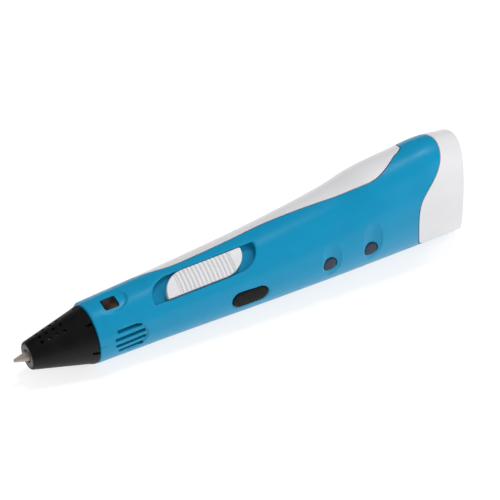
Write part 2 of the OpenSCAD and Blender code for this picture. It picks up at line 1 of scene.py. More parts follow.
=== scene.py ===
import json
import math

import bmesh
import bpy
import numpy as np
from mathutils import Matrix, Vector


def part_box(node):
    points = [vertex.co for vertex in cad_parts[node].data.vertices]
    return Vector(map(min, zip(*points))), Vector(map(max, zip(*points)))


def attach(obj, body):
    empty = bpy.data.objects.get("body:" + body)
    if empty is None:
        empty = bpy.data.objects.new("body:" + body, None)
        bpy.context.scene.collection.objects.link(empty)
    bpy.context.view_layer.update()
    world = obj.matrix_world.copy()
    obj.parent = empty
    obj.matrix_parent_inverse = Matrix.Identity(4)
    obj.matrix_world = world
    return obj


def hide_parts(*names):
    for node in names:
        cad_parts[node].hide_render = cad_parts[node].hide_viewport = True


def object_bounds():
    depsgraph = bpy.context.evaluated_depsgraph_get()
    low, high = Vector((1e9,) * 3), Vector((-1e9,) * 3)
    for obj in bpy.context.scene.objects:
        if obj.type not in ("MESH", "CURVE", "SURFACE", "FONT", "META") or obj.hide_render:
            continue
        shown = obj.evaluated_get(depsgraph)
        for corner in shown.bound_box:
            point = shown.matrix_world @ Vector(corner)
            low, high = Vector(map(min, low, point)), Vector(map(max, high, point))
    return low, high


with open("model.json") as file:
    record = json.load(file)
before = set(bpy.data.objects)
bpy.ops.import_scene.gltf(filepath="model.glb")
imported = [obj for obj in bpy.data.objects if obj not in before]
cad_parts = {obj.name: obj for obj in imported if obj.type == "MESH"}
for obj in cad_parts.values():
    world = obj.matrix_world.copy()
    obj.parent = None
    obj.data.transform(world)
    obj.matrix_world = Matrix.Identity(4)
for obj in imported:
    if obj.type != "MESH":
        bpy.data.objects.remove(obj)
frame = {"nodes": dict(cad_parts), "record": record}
for leftover in ("Cube", "Light", "Camera"):    # Blender's own start-up objects
    if leftover in bpy.data.objects:
        bpy.data.objects.remove(bpy.data.objects[leftover])
cad_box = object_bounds()

# Looks of the three d pen. Lengths are in millimetres in pen coordinates until stand() places a
# finished piece: x runs from the nozzle tip to the rear, the nozzle axis is y = 0, z = 0, and the
# controls face -y.

MM = 0.001
nozzle_low, nozzle_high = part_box("nozzle")
PEN_ORIGIN = Vector((nozzle_low.x, (nozzle_low.y + nozzle_high.y) / 2, (nozzle_low.z + nozzle_high.z) / 2))
FAR = 40                                    # reach of cutters that pass right through the pen


def pen(point):
    """A place in the frame, in millimetres in pen coordinates."""
    return (Vector(point) - PEN_ORIGIN) / MM


# ---- body shape: the driving sizes of the CAD part, but with a wider seam ----

PEN_LENGTH = pen(cad_box[1]).x
FLAT_Z = pen(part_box("blue_shell")[0]).z     # flat strip along the belly
BELLY_Z = -11.2                             # lowest line of the oval before the flat is cut
WALL = 1.8
RING_BORE = 8.95                            # front ring of the shells, which takes the cover's sleeve
BOSS_R = 2.6                                # round each case screw
POST_R = 1.9                                # under each board screw
BODY_SECTIONS = [(29.4, 11.6, 12.4), (60, 12.2, 15.4), (100, 13.9, 19.7), (130, 15, 25.2),
                 (145, 15.5, 30), (160, 15.5, 32.3), (172, 15.4, 33.8), (184, 14.7, 32.6)]
BODY_START = BODY_SECTIONS[0][0]
REAR_RADIUS = 57.8                          # hollow curve of the rear face
REAR_AXIS = (179.85 + REAR_RADIUS, 11.1)    # its axis: x, z
TOP_SEAM = [(24, 9.6), (35.5, 9.2), (43.4, 8.4), (50.8, 6.8), (57.6, 4.5), (64.7, 2.4), (74, 2),
            (90, 2.2), (103, 2.4), (117, 0.4), (131, -2.6), (142, -5), (146, -5.4), (149.5, -4.7),
            (153.6, -2.9), (158.4, 0.2)]
REAR_SEAM = [(-9.6, 182), (-8.2, 173), (-6.5, 167), (-4.8, 164.1), (-1.6, 162.1), (6, 160.4),
             (13, 160.2), (17.5, 161.2), (20.8, 163.4), (27.1, 170), (30.5, 173), (34.5, 175.6)]
TONGUE = (169.2, 6.2, 4.3)                  # blue lobe over the top: middle, radius, centre's y
SEAM_SWITCH_Z = 5                           # above this the top seam applies, below it y = 0
SEAM_GAP = 0.42                             # 0.15 in the CAD part; wider here so that it shows
LOWER_STRIP = 1.5                           # long cut faces are laid in strips of this length

# ---- controls and openings ----

SLIDER_PLACE = (74.7, 61)                   # distance from the tip, angle round the oval
SLIDER_SIZE = (32.4, 8.4)
SLIDER_CORNERS = (0.5, 8.8)                 # two tight corners and two long sweeps
GROOVE_SIZE = (43.8, 9.2)
GROOVE_CORNERS = (0.9, 9)
GROOVE_DEPTH = 3
TUB_WALL = 1.1
LEVER_SLOT = (15, 1.8)
WINDOW_PLACE = (38.2, 82)
WINDOW_SIZE = (6, 5.3)
FEED_PLACE = (90.2, 2.2)                    # distance from the tip, height
FEED_SIZE = (14.5, 6.7)
FEED_OPENING = (FEED_SIZE[0] + 0.4, FEED_SIZE[1] + 0.4)
FEED_POCKET = (FEED_SIZE[0] + 2.4, FEED_SIZE[1] + 2.4)
FEED_POCKET_Y = 11.75                       # outer end of the pocket that takes the key's rim
FEED_FACE = pen(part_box("feed_button")[0]).y
ROUND_BUTTONS = {"load_button": (123.4, 4.3), "unload_button": (140.5, 5)}
BUTTON_R = 2.75
FLANGE_R = BUTTON_R + 1.2
FLANGE_DROP = 2                             # from a round key's face down to the recess for its flange
CUP_R = 4.3                                 # guide wall round each round key
SCOOP_R = 6.6
VENTS = [(6, 10.2), (3.25, 12.6), (0.5, 12.6), (-2.25, 10.2)]   # height, length
VENT_X = 41.6
VENT_WIDTH = 1.4
SCREW_SPOTS = [(57, -5.2), (88.5, -6.2), (151, -6), (158, 25)]
PILOT_R, SCREW_HOLE_R, SCREW_SEAT_R = 0.95, 1.15, 2.15
BOARD_SPOTS = [(70, 6.2), (148, 0)]
COVER_OUTLINE = [(5.3, 4.95), (5.7, 5.35), (26.2, 10.4), (28.4, 11.1), (29.1, 11.1)]
COVER_WALL = 1.2
COVER_SLEEVE = (8.85, 7.6, 3.7)             # outer radius, inner radius, length
COVER_HOLE_R = 0.75
COVER_HOLE_ROWS = (-28, -5, 18)             # degrees from the top, and again from the bottom
JACK_Z = 20
JACK_HOLE_R = 3.95
INLET_HOLE_R, INLET_SEAT_R = 2.5, 3.55


# ---- curves ----

def along(table, x, column):
    """A smooth curve through a few named points, read at x."""
    t = np.array(table, float)
    xs, ys = t[:, 0], t[:, column]
    slope = np.gradient(ys)
    slope[1:-1] = (ys[2:] - ys[:-2]) / (xs[2:] - xs[:-2])
    slope[0] = (ys[1] - ys[0]) / (xs[1] - xs[0])
    slope[-1] = (ys[-1] - ys[-2]) / (xs[-1] - xs[-2])
    k = np.clip(np.searchsorted(xs, x, side="right") - 1, 0, len(xs) - 2)
    h = xs[k + 1] - xs[k]
    u = (np.asarray(x, float) - xs[k]) / h
    return ((2 * u**3 - 3 * u**2 + 1) * ys[k] + (u**3 - 2 * u**2 + u) * h * slope[k]
            + (3 * u**2 - 2 * u**3) * ys[k + 1] + (u**3 - u**2) * h * slope[k + 1])


def oval(x, angle, inset=0.0):
    """Points of the oval body; angle 0 faces -y (the controls) and 90 degrees faces up."""
    x = np.asarray(x, float)
    sx = np.maximum(x, BODY_START)
    half_w = along(BODY_SECTIONS, sx, 1)
    top = along(BODY_SECTIONS, sx, 2)
    mid, half_h = (top + BELLY_Z) / 2, (top - BELLY_Z) / 2
    y = -(half_w - inset) * np.cos(angle)
    z = mid + (half_h - inset) * np.sin(angle)
    return np.stack([x + 0 * y, y, z], -1)


def skin_frame(place):
    """Stands on the skin: local x runs along the pen and local z points out of it."""
    x, angle = place[0], math.radians(place[1])
    at, before, after = (Vector(oval(x + d, angle)) for d in (0, -1, 1))
    half_w = float(along(BODY_SECTIONS, x, 1))
    half_h = (float(along(BODY_SECTIONS, x, 2)) - BELLY_Z) / 2
    tilt = math.atan2(math.cos(angle) / half_w, math.sin(angle) / half_h)
    slope = math.atan(((after - before) / 2).dot(Vector((0, -math.sin(tilt), math.cos(tilt)))))
    turn = Matrix.Rotation(tilt, 4, "X") @ Matrix.Rotation(-slope, 4, "Y")
    return Matrix.Translation(at) @ turn


def facing_controls(x, z, y=0.0):
    """Local x runs along the pen, local y runs up and local z points to -y."""
    return Matrix.Translation((x, y, z)) @ Matrix.Rotation(math.pi / 2, 4, "X")


def smooth(t):
    t = np.clip(t, 0, 1)
    return t * t * (3 - 2 * t)


def slot_distance(u, v, length, width):
    """Distance outside a flat shape with round ends."""
    return np.hypot(np.maximum(np.abs(u) - (length - width) / 2, 0), v) - width / 2


def slot_outline(length, width, steps=32):
    points = []
    for side in (1, -1):
        for a in np.linspace(-math.pi / 2, math.pi / 2, steps):
            points.append((side * ((length - width) / 2 + width / 2 * math.cos(a)),
                           side * width / 2 * math.sin(a)))
    return points


def leaf_outline(length, width, tight, sweep, steps=24):
    """A leaf: tight corners at the lower left and upper right, long sweeps at the other two."""
    points = []
    corners = [(-1, tight, tight), (1, sweep, width - tight), (1, tight, tight), (-1, sweep, width - tight)]
    for k, (side, rx, ry) in enumerate(corners):
        middle = (side * (length / 2 - rx), (-1 if k < 2 else 1) * (width / 2 - ry))
        for a in np.linspace(math.pi * (1 + k / 2), math.pi * (1.5 + k / 2), steps)[:-1]:
            points.append((middle[0] + rx * math.cos(a), middle[1] + ry * math.sin(a)))
    return points


def outline_gap(u, v, outline):
    """Distance from places to the nearest edge of a closed outline."""
    gap = np.full(np.shape(u), np.inf)
    for (ax, ay), (bx, by) in zip(outline, outline[1:] + outline[:1]):
        ex, ey = bx - ax, by - ay
        t = np.clip(((u - ax) * ex + (v - ay) * ey) / (ex * ex + ey * ey), 0, 1)
        gap = np.minimum(gap, np.hypot(u - ax - t * ex, v - ay - t * ey))
    return gap


def box_outline(length, width, r, steps=8):
    points = []
    for k, (i, j) in enumerate([(1, 1), (-1, 1), (-1, -1), (1, -1)]):
        for a in np.linspace(k * math.pi / 2, (k + 1) * math.pi / 2, steps):
            points.append((i * (length / 2 - r) + r * math.cos(a), j * (width / 2 - r) + r * math.sin(a)))
    return points


def filleted(points, radius, steps=5):
    """A closed outline with its corners rounded."""
    out = []
    count = len(points)
    for i in range(count):
        p, a, b = (Vector(points[k % count]) for k in (i, i - 1, i + 1))
        to_a, to_b = (a - p), (b - p)
        half = to_a.angle(to_b) / 2
        reach = min(radius / math.tan(half) if half > 0.01 else 0, 0.45 * to_a.length, 0.45 * to_b.length)
        start, end = p + to_a.normalized() * reach, p + to_b.normalized() * reach
        for k in range(steps + 1):
            t = k / steps
            out.append(tuple((1 - t) ** 2 * start + 2 * t * (1 - t) * p + t * t * end))
    return out


# ---- meshes ----

def new_object(name, points, faces):
    mesh = bpy.data.meshes.new(name)
    mesh.from_pydata([tuple(p) for p in points], [], faces)
    mesh.update()
    piece = bpy.data.objects.new(name, mesh)
    bpy.context.scene.collection.objects.link(piece)
    return piece


def skin(name, rings, matrix=None):
    """A closed skin through rings of points that run counter-clockwise about the way they head."""
    rings = np.asarray(rings, float)
    count, n = rings.shape[:2]
    i, j = np.meshgrid(np.arange(count - 1), np.arange(n), indexing="ij")
    a, b = i * n + j, i * n + (j + 1) % n
    faces = np.stack([a, b, b + n, a + n], -1).reshape(-1, 4).tolist()
    faces.append(list(range(n))[::-1])
    faces.append(list(range((count - 1) * n, count * n)))
    piece = new_object(name, rings.reshape(-1, 3), faces)
    if matrix is not None:
        piece.data.transform(matrix)
    return piece


def prism(name, outline, low, high, matrix=None):
    """A flat outline pushed from low to high along local z."""
    return skin(name, [[(x, y, z) for x, y in outline] for z in (low, high)], matrix)


def bar(name, r, low, high, matrix=None, steps=64):
    """A round bar along local z."""
    turn = np.linspace(0, 2 * math.pi, steps, endpoint=False)
    outline = [(r * math.cos(a), r * math.sin(a)) for a in turn]
    return prism(name, outline, low, high, matrix)


def along_pen(x=0.0, y=0.0, z=0.0):
    """Local z runs along the pen."""
    return Matrix.Translation((x, y, z)) @ Matrix.Rotation(math.pi / 2, 4, "Y")


def lathe(name, outline, steps=128):
    """A ring turned about the pen's axis from a closed outline of (x, radius) points."""
    n = len(outline)
    points = [(x, r * math.cos(a), r * math.sin(a))
              for a in np.linspace(0, 2 * math.pi, steps, endpoint=False) for x, r in outline]
    faces = []
    for s in range(steps):
        for k in range(n):
            a, b = s * n, ((s + 1) % steps) * n
            faces.append((a + k, a + (k + 1) % n, b + (k + 1) % n, b + k))
    piece = new_object(name, points, faces)
    work = bmesh.new()
    work.from_mesh(piece.data)
    bmesh.ops.recalc_face_normals(work, faces=work.faces)
    work.to_mesh(piece.data)
    work.free()
    return piece


def merged(name, parts):
    """Several closed skins that don't touch, as one object."""
    work = bmesh.new()
    for part in parts:
        work.from_mesh(part.data)
        bpy.data.objects.remove(part)
    piece = new_object(name, [], [])
    work.to_mesh(piece.data)
    work.free()
    return piece


def carve(piece, operation, *tools):
    """Cuts, joins or keeps what the tools cover, one after another, and removes the tools."""
    for tool in tools:
        step = piece.modifiers.new("carve", "BOOLEAN")
        step.operation = operation
        step.solver = "MANIFOLD"
        step.object = tool
    settled = bpy.context.evaluated_depsgraph_get()
    mesh = bpy.data.meshes.new_from_object(piece.evaluated_get(settled))
    piece.modifiers.clear()
    piece.data = mesh
    for tool in tools:
        bpy.data.objects.remove(tool)
    return piece


def stand(piece, body, slot, *nodes, sharp=32):
    """Places a finished piece in the frame, with its finish, its body and the nodes it stands for."""
    piece.data.transform(Matrix.Translation(PEN_ORIGIN) @ Matrix.Scale(MM, 4))
    piece.data.shade_smooth()
    piece.data.set_sharp_from_angle(angle=math.radians(sharp))
    piece.data.materials.clear()
    piece.data.materials.append(finishes[slot])
    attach(piece, body)
    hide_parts(*nodes)
    return piece


# ---- finishes ----

class Nodes:
    """Short names for the few shader nodes that every finish uses."""

    def __init__(self, name):
        self.material = bpy.data.materials.new(name)
        self.material.use_nodes = True
        self.tree = self.material.node_tree
        self.tree.nodes.clear()
        self.places = self.add("ShaderNodeTexCoord").outputs["Object"]

    def add(self, kind, inputs=None, **settings):
        node = self.tree.nodes.new(kind)
        for key, value in settings.items():
            setattr(node, key, value)
        for key, value in (inputs or {}).items():
            if isinstance(value, bpy.types.NodeSocket):
                self.tree.links.new(value, node.inputs[key])
            else:
                node.inputs[key].default_value = value
        return node

    def noise(self, size_mm, detail=2.0, stretch=(1, 1, 1)):
        scaled = self.add("ShaderNodeMapping", {"Vector": self.places, "Scale": stretch}).outputs["Vector"]
        inputs = {"Vector": scaled, "Scale": 1 / (size_mm * MM), "Detail": detail}
        return self.add("ShaderNodeTexNoise", inputs).outputs["Fac"]

    def spread(self, value, low, high, span=(0.3, 0.7)):
        inputs = {"Value": value, "From Min": span[0], "From Max": span[1], "To Min": low, "To Max": high}
        return self.add("ShaderNodeMapRange", inputs).outputs["Result"]

    def mix(self, factor, a, b, blend="MIX"):
        node = self.add("ShaderNodeMix", data_type="RGBA", blend_type=blend)
        for key, value in (("Factor_Float", factor), ("A_Color", a), ("B_Color", b)):
            socket = next(s for s in node.inputs if s.identifier == key)
            if isinstance(value, bpy.types.NodeSocket):
                self.tree.links.new(value, socket)
            else:
                socket.default_value = value
        return next(s for s in node.outputs if s.identifier == "Result_Color")


def finish(slot, colour, roughness, metallic=0.0, grain=(0.25, 0.006), variation=0.06, wear_and_highlight_tint=None, wear_and_highlight_amount=0.5,
           edge=0.18, specular=0.5, coat=0.0, stretch=(1, 1, 1), pattern=None):
    """A procedural finish: colour drifts, a fine grain in the bump, and softly rounded edges whose colour
    is lightened, partly as wear and partly as a painted highlight.

    grain is the size of the grain and its depth in millimetres, and edge the radius of the edges.
    """
    n = Nodes(slot)
    base = (*colour, 1)
    dark = (*[c * (1 - variation) for c in colour], 1)
    light = (*[min(c * (1 + variation), 1) for c in colour], 1)
    tone = n.mix(n.spread(n.noise(9, 3, stretch), 0, 1), dark, light)
    tone = n.mix(n.spread(n.noise(grain[0] * 2, 1, stretch), 0, 0.5), tone, base)
    if pattern:
        tone = pattern(n, tone)
    soft = n.add("ShaderNodeBevel", {"Radius": edge * MM}, samples=4).outputs["Normal"]
    true_normal = n.add("ShaderNodeNewGeometry").outputs["Normal"]
    agree = n.add("ShaderNodeVectorMath", {0: soft, 1: true_normal}, operation="DOT_PRODUCT")
    # Edges are lightened towards the edge tint: partly rubbed wear, partly a painted highlight where the
    # rounded edges would catch the light.
    edges = n.spread(agree.outputs["Value"], wear_and_highlight_amount, 0, (0.7, 0.985))
    patches = n.spread(n.noise(1.5, 4), 0.45, 1)
    patchy = n.add("ShaderNodeMath", {0: edges, 1: patches}, operation="MULTIPLY")
    wear_and_highlight_colour = (*(wear_and_highlight_tint or [min(c * 1.5 + 0.03, 1) for c in colour]), 1)
    tone = n.mix(patchy.outputs["Value"], tone, wear_and_highlight_colour)
    rough = n.spread(n.noise(2.5, 4, stretch), roughness - 0.05, roughness + 0.05)
    height = n.noise(grain[0], 2, stretch)
    bump = n.add("ShaderNodeBump", {
        "Height": height, "Distance": grain[1] * MM, "Strength": 1, "Normal": soft})
    surface = n.add("ShaderNodeBsdfPrincipled", {
        "Base Color": tone, "Roughness": rough, "Metallic": metallic, "Normal": bump.outputs["Normal"],
        "Specular IOR Level": specular, "Coat Weight": coat, "Coat Roughness": 0.12})
    n.add("ShaderNodeOutputMaterial", {"Surface": surface.outputs["BSDF"]})
    return n.material


def copper_tracks(n, tone):
    """Lighter tracks under the green lacquer of the circuit board."""
    bricks = n.add("ShaderNodeTexBrick", {
        "Vector": n.places, "Scale": 260, "Mortar Size": 0.09, "Color1": (0, 0, 0, 1),
        "Color2": (0, 0, 0, 1), "Mortar": (1, 1, 1, 1)})
    return n.mix(bricks.outputs["Color"], tone, (0.05, 0.28, 0.1, 1))


def braid(n, tone):
    """Crossing threads of the woven sleeve."""
    wave = n.add("ShaderNodeTexWave", {"Vector": n.places, "Scale": 700, "Distortion": 1.5})
    return n.mix(n.spread(wave.outputs["Fac"], 0, 0.6, (0.2, 0.8)), tone, (0.35, 0.28, 0.16, 1))


def lit_panel(n, tone):
    """A faint warm tint in the dark window, from the lamp underneath."""
    glow = n.spread(n.noise(3.5, 0), 0, 0.5, (0.45, 0.65))
    return n.mix(glow, tone, (0.06, 0.035, 0.025, 1))


METAL_GRAIN = (0.12, 0.002)
finishes = {
    "blue_plastic": finish("blue_plastic", (0.0, 0.225, 0.405), 0.33, grain=(0.22, 0.004), variation=0.04,
                           wear_and_highlight_tint=(0.02, 0.32, 0.54), wear_and_highlight_amount=0.3, specular=0.3),
    # The near-white edge tint here is mostly a painted highlight along the rounded edges and the seam, with
    # a little wear.
    "white_plastic": finish("white_plastic", (0.60, 0.60, 0.615), 0.34, grain=(0.3, 0.003), variation=0.02,
                            wear_and_highlight_tint=(0.9, 0.9, 0.91), wear_and_highlight_amount=0.9, edge=0.12, specular=0.35),
    "black_plastic": finish("black_plastic", (0.006, 0.006, 0.0065), 0.5, grain=(0.3, 0.025),
                            variation=0.25, wear_and_highlight_tint=(0.035, 0.035, 0.037), wear_and_highlight_amount=0.6, specular=0.2),
    "dark_metal": finish("dark_metal", (0.07, 0.07, 0.073), 0.45, 0.5, METAL_GRAIN, 0.12, edge=0.12),
    "nozzle_metal": finish("nozzle_metal", (0.40, 0.355, 0.31), 0.42, 0.35, (0.2, 0.004), 0.1, edge=0.12,
                           wear_and_highlight_tint=(0.6, 0.55, 0.5)),
    "brass": finish("brass", (0.72, 0.52, 0.22), 0.3, 1, METAL_GRAIN, 0.1),
    "heater_wire": finish("heater_wire", (0.3, 0.28, 0.27), 0.45, 0.9, METAL_GRAIN, 0.15),
    "insulation": finish("insulation", (0.72, 0.62, 0.42), 0.85, grain=(0.15, 0.03), pattern=braid),
    "copper": finish("copper", (0.6, 0.26, 0.13), 0.4, 0.9, METAL_GRAIN, 0.15),
    "ptfe": finish("ptfe", (0.85, 0.85, 0.82), 0.35, grain=(0.4, 0.003), variation=0.03),
    "window": finish("window", (0.012, 0.009, 0.008), 0.3, grain=(1, 0.001), wear_and_highlight_tint=(0.05, 0.045, 0.04),
                     specular=0.3, pattern=lit_panel),
    "lamp": finish("lamp", (0.5, 0.04, 0.02), 0.15, coat=0.6, grain=(1, 0.001)),
    "steel": finish("steel", (0.56, 0.57, 0.59), 0.3, 1, METAL_GRAIN, 0.08, stretch=(1, 1, 6)),
    "black_rubber": finish("black_rubber", (0.006, 0.0055, 0.0055), 0.5, grain=(0.18, 0.02), variation=0.2,
                           wear_and_highlight_tint=(0.075, 0.055, 0.045), wear_and_highlight_amount=0.8, edge=0.12, specular=0.2),
    "grey_button": finish("grey_button", (0.024, 0.034, 0.058), 0.5, grain=(0.2, 0.012), variation=0.12,
                          wear_and_highlight_tint=(0.12, 0.13, 0.16), specular=0.3),
    "board": finish("board", (0.015, 0.13, 0.045), 0.35, coat=0.4, pattern=copper_tracks),
    "frame_grey": finish("frame_grey", (0.1, 0.11, 0.12), 0.5, grain=(0.25, 0.01), variation=0.1),
    "gear_plastic": finish("gear_plastic", (0.78, 0.74, 0.62), 0.4, grain=(0.2, 0.004), variation=0.04),
    "red_wire": finish("red_wire", (0.5, 0.03, 0.02), 0.45, grain=(0.2, 0.004)),
    "black_wire": finish("black_wire", (0.015, 0.015, 0.016), 0.45, grain=(0.2, 0.004)),
    "yellow_wire": finish("yellow_wire", (0.65, 0.42, 0.02), 0.45, grain=(0.2, 0.004)),
}


# ---- half shells ----

def lip(distance, radius):
    """How far the skin has fallen over a rounded lip, at a distance outside an opening."""
    t = np.clip(1 - distance / radius, 0, 1)
    return 0.55 * radius * t * t


def fading_scoop(u, v, half_length, half_width, depth, slope, ridge):
    """A shallow round-ended scoop that is deepest under a ridge at its rear and fades forward."""
    ratio = np.hypot(u / half_length, v / half_width)
    inside = smooth((1 - ratio) * half_width / ridge)
    return inside * np.clip(depth + slope * u, 0, None)


def relief(points):
    """How deep the scoops and lips of the near side go, at points of the skin."""
    def local(matrix):
        turned = np.array(matrix.inverted())
        return points @ turned[:3, :3].T + turned[:3, 3]

    near = points[:, 1] < 4
    u, v, w = local(skin_frame(WINDOW_PLACE)).T
    depth = fading_scoop(u - 0.2, v - 0.2, 6.9, 4.9, 0.34, 0.06, 0.6) * (w > -5)
    u, v, w = local(skin_frame(SLIDER_PLACE)).T
    groove = leaf_outline(*GROOVE_SIZE, *GROOVE_CORNERS)
    depth = np.maximum(depth, lip(outline_gap(u, v, groove), 0.55) * (w > -4))
    u, v, w = local(facing_controls(*FEED_PLACE)).T
    depth = np.maximum(depth, lip(slot_distance(u, v, *FEED_OPENING), 0.8) * (w > 0))
    u, v, w = local(facing_controls(VENT_X, 1.9)).T
    depth = np.maximum(depth, fading_scoop(u, v, 7.2, 5.9, 0.26, 0.06, 0.4) * (w > 0))
    return depth * near


def spaced(*stretches):
    """Stations from stretches of (start, end, step)."""
    parts = [np.arange(a, b, step) for a, b, step in stretches]
    return np.concatenate(parts + [[stretches[-1][1]]])


def outer_body():
    """The solid outside of both shells, with its lips and scoops, cut at the rear and along the belly."""
    x = spaced((BODY_START, BODY_START + 0.3, 0.1), (BODY_START + 0.3, 150, 0.35), (150, PEN_LENGTH, 0.7))
    near = np.linspace(-90, 90, 200, endpoint=False)
    far = np.linspace(90, 270, 70, endpoint=False)
    angle = np.radians(np.concatenate([near, far]))[::-1]
    rings = oval(x[:, None], angle[None, :])
    across = np.roll(rings, -1, 1) - np.roll(rings, 1, 1)
    ahead = np.gradient(rings, axis=0)
    normal = np.cross(across, ahead)
    normal /= np.linalg.norm(normal, axis=-1, keepdims=True)
    rings = rings - normal * relief(rings.reshape(-1, 3)).reshape(rings.shape[:2])[..., None]
    chamfer = 0.25 * (1 - smooth((x - BODY_START) / 0.35))
    middle = rings.mean(axis=1, keepdims=True)
    spoke = rings - middle
    spoke[..., 0] = 0
    spoke /= np.linalg.norm(spoke, axis=-1, keepdims=True)
    body = skin("body", rings - spoke * chamfer[:, None, None])
    return carve(body, "DIFFERENCE", rear_cutter(REAR_RADIUS), floor_cutter(FLAT_Z))


def rear_cutter(r):
    """A big upright round whose side hollows the rear face."""
    turn = Matrix.Translation((REAR_AXIS[0], -FAR, REAR_AXIS[1])) @ Matrix.Rotation(-math.pi / 2, 4, "X")
    return bar("rear_cutter", r, 0, 2 * FAR, turn, 400)


def floor_cutter(z):
    """Everything below z. Its top is laid in short strips, which keeps the cut faces small."""
    end = PEN_LENGTH + 10
    top = [(x, z) for x in np.arange(end, 0, -LOWER_STRIP)]
    outline = [(0, z - FAR), (end, z - FAR)] + top
    return prism("floor_cutter", outline, -FAR, FAR, facing_controls(0, 0))


def hollow():
    """The space inside the shells, less the ring, bosses, tub and posts that stand in it."""
    x = np.linspace(BODY_START - 1, PEN_LENGTH - 2, 90)
    angle = np.linspace(2 * math.pi, 0, 72, endpoint=False)
    space = skin("hollow", oval(x[:, None], angle[None, :], WALL))
    carve(space, "DIFFERENCE", rear_cutter(REAR_RADIUS + WALL), floor_cutter(FLAT_Z + WALL))
    ring = bar("ring", 13, BODY_START + 0.8, BODY_START + 2.8, along_pen())
    carve(ring, "DIFFERENCE", bar("ring_bore", RING_BORE, BODY_START, BODY_START + 4, along_pen(), 128))
    bosses = [bar("boss", BOSS_R, -FAR, FAR, facing_controls(*spot)) for spot in SCREW_SPOTS]
    size = (side + 2 * TUB_WALL for side in GROOVE_SIZE)
    corners = (c + TUB_WALL for c in GROOVE_CORNERS)
    tub = prism("tub", leaf_outline(*size, *corners), -GROOVE_DEPTH - 1, 4, skin_frame(SLIDER_PLACE))
    cups = [bar("cup", CUP_R, -face(name) - FLANGE_DROP, FAR, facing_controls(*spot))
            for name, spot in ROUND_BUTTONS.items()]
    board_front = pen(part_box("circuit_board")[0]).y
    posts = [bar("post", POST_R, -board_front, FAR, facing_controls(*spot)) for spot in BOARD_SPOTS]
    return carve(space, "DIFFERENCE", ring, tub, *bosses, *cups, *posts)


def face(name):
    """Outermost y of a control."""
    return pen(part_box(name)[0]).y


def blue_side(grow):
    """The share of space that belongs to the blue shell, grown by grow."""
    z = np.linspace(REAR_SEAM[0][0], REAR_SEAM[-1][0], 160)
    side = [(float(along(REAR_SEAM, h, 1)) + grow, h) for h in z]
    rear_x = REAR_SEAM[-1][1] + grow
    outline = [(20, -FAR), (side[0][0], -FAR)] + side + [(rear_x, FAR), (20, FAR)]
    profile = prism("profile", outline, -FAR, FAR, facing_controls(0, 0))
    first, last = TOP_SEAM[0], TOP_SEAM[-1]
    seam = [(x, float(along(TOP_SEAM, x, 1)) + grow) for x in np.linspace(first[0], last[0], 220)]
    middle, radius, centre_y = TONGUE[0], TONGUE[1] + grow, TONGUE[2]
    lobe = [(middle - radius * math.cos(a), centre_y + radius * math.sin(a))
            for a in np.linspace(0, math.pi, 48)]
    bend = Vector((middle - radius, (last[1] + centre_y) / 2 - 0.4 + grow))
    start, end = Vector(seam[-1]), Vector(lobe[0])
    turn = [tuple((1 - t) ** 2 * start + 2 * t * (1 - t) * bend + t * t * end)
            for t in np.linspace(0.1, 0.9, 9)]
    top = [(first[0], -FAR)] + seam + turn + lobe + [(PEN_LENGTH + 5, centre_y), (PEN_LENGTH + 5, -FAR)]
    above = prism("above", top[::-1], SEAM_SWITCH_Z - 0.02, FAR - 2)
    split = [(x, grow) for x in np.arange(PEN_LENGTH + 6, first[0] - 2, -LOWER_STRIP)]
    low_outline = [(split[-1][0], 1 - FAR), (PEN_LENGTH + 6, 1 - FAR)] + split
    below = prism("below", low_outline, 2 - FAR, SEAM_SWITCH_Z)
    return carve(carve(above, "UNION", below), "INTERSECT", profile)


def shell_wall():
    """The whole body as a wall, before it is split into its two half shells."""
    return carve(outer_body(), "DIFFERENCE", hollow())


def vertical_scoop(name, spot):
    """A finger scoop round a button: an upright round cutter that only grazes the body."""
    reach, depth = 12, 0.8
    place = Matrix.Translation((spot[0], face(name) + depth - SCOOP_R, spot[1]))
    return bar("scoop", SCOOP_R, -reach, reach, place, 160)


def blue_shell():
    """The near half, with the openings of every control."""
    shell = carve(shell_wall(), "INTERSECT", blue_side(0))
    slider_frame = skin_frame(SLIDER_PLACE)
    groove = prism("groove", leaf_outline(*GROOVE_SIZE, *GROOVE_CORNERS), -GROOVE_DEPTH, 4, slider_frame)
    lever_slot = prism("lever_slot", slot_outline(*LEVER_SLOT), -GROOVE_DEPTH - 3, -GROOVE_DEPTH + 1,
                       slider_frame)
    window = prism("window_hole", box_outline(*WINDOW_SIZE, 0.9), -5, 5, skin_frame(WINDOW_PLACE))
    feed_frame = facing_controls(*FEED_PLACE)
    feed_hole = prism("feed_hole", slot_outline(*FEED_OPENING, 40), 8, FAR, feed_frame)
    feed_pocket = prism("feed_pocket", slot_outline(*FEED_POCKET), 7, FEED_POCKET_Y, feed_frame)
    vents = [prism("vent", slot_outline(length, VENT_WIDTH, 12), 4, FAR, facing_controls(VENT_X, z))
             for z, length in VENTS]
    scoops = [vertical_scoop(name, spot) for name, spot in ROUND_BUTTONS.items()]
    holes = [bar("hole", BUTTON_R + 0.2, 0, FAR, facing_controls(*spot), 96)
             for spot in ROUND_BUTTONS.values()]
    flanges = [bar("flange", FLANGE_R, 0, -face(name) - FLANGE_DROP, facing_controls(*spot))
               for name, spot in ROUND_BUTTONS.items()]
    screw_holes = [bar("screw_hole", PILOT_R, -1, 6, facing_controls(*spot)) for spot in SCREW_SPOTS]
    start, end, half = BODY_START - 1, BODY_START + 3.2, 0.08
    line_outline = [(start, -half), (end, -half), (end, half), (start, half)]
    line = prism("line", line_outline, 11.35, 14, facing_controls(0, 2.2))
    carve(shell, "DIFFERENCE", *scoops, groove, lever_slot, window, feed_hole, feed_pocket,
          merged("vents", vents), *holes, *flanges, merged("screw_holes", screw_holes), line)
    return stand(shell, "case", "blue_plastic", "blue_shell")


